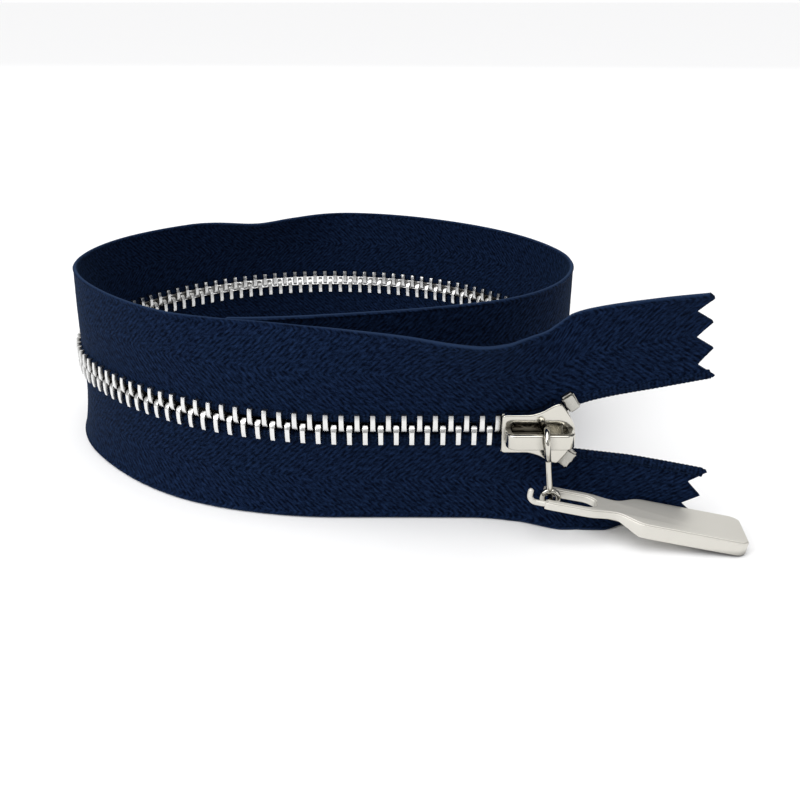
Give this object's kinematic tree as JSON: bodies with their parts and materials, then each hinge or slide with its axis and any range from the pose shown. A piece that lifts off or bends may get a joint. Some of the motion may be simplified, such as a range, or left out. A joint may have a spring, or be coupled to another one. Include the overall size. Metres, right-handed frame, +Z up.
{
  "type": "metal zipper",
  "caption": "Closed-end metal zipper coiled in one loop on its edge, with an auto-lock slider, hanging link and flat bar pull.",
  "frame": {"origin": "centre of the whole object's plan box, on the surface the tape's edge stands on", "axes": "+X along the straight front run towards the free tails, +Y from the front run into the loop, +Z up"},
  "size_m": [0.0964, 0.0788, 0.0323],
  "materials": {
    "tape": "navy herringbone twill",
    "cord": "navy woven cord",
    "teeth": "bright nickel silver",
    "stop": "crimped nickel silver, slightly rough",
    "slider": "polished nickel plate",
    "lock": "plain steel",
    "spring": "spring steel",
    "link": "polished nickel plate",
    "pull": "polished nickel plate"
  },
  "bodies": {
    "tapes": {"lower_tape": "tape", "upper_tape": "tape", "lower_cord": "cord", "upper_cord": "cord", "lower_teeth": "teeth", "upper_teeth": "teeth", "lower_opening_teeth": "teeth", "lower_top_stop": "stop", "bottom_stop": "stop"},
    "upper_tail": {"upper_tail_tape": "tape", "upper_tail_cord": "cord", "upper_opening_teeth": "teeth", "upper_top_stop": "stop"},
    "slider": {"slider_body": "slider", "slider_crown": "slider", "lock_spring": "spring"},
    "pawl": {"lock_pawl": "lock"},
    "link": {"pull_link": "link"},
    "pull": {"pull_tab": "pull", "pull_pin": "pull"}
  },
  "joints": [
    {"name": "slider_travel", "type": "slide", "parent": "tapes", "child": "slider", "axis": [-1, 0, 0], "range_m": [0, 0.0197], "deforming": ["lower_opening_teeth", "upper_opening_teeth", "upper_tail_cord"]},
    {"name": "upper_tail_swing", "type": "hinge", "parent": "tapes", "child": "upper_tail", "pos_m": [0.00156, -0.0286, 0.0265], "axis": [0, -1, 0], "range_deg": [0, 12], "stiffness_Nm_per_rad": 0.0003, "springref_deg": 22.92},
    {"name": "pawl_lift", "type": "slide", "parent": "slider", "child": "pawl", "axis": [0, -1, 0], "range_m": [0, 0.0004], "stiffness_N_per_m": 150, "deforming": ["lock_spring"]},
    {"name": "link_swing", "type": "hinge", "parent": "slider", "child": "link", "pos_m": [0.0224, -0.0329, 0.01325], "axis": [-0.9886, 0.1039, -0.1089], "range_deg": [0, 120]},
    {"name": "pull_swing", "type": "hinge", "parent": "link", "child": "pull", "pos_m": [0.02326, -0.03299, 0.00535], "axis": [0.1045, 0.9945, 0], "range_deg": [-15, 130]}
  ],
  "couplings": [
    {"joint": "upper_tail_swing", "follows": "slider_travel", "rad_per_m": 10.63}
  ]
}
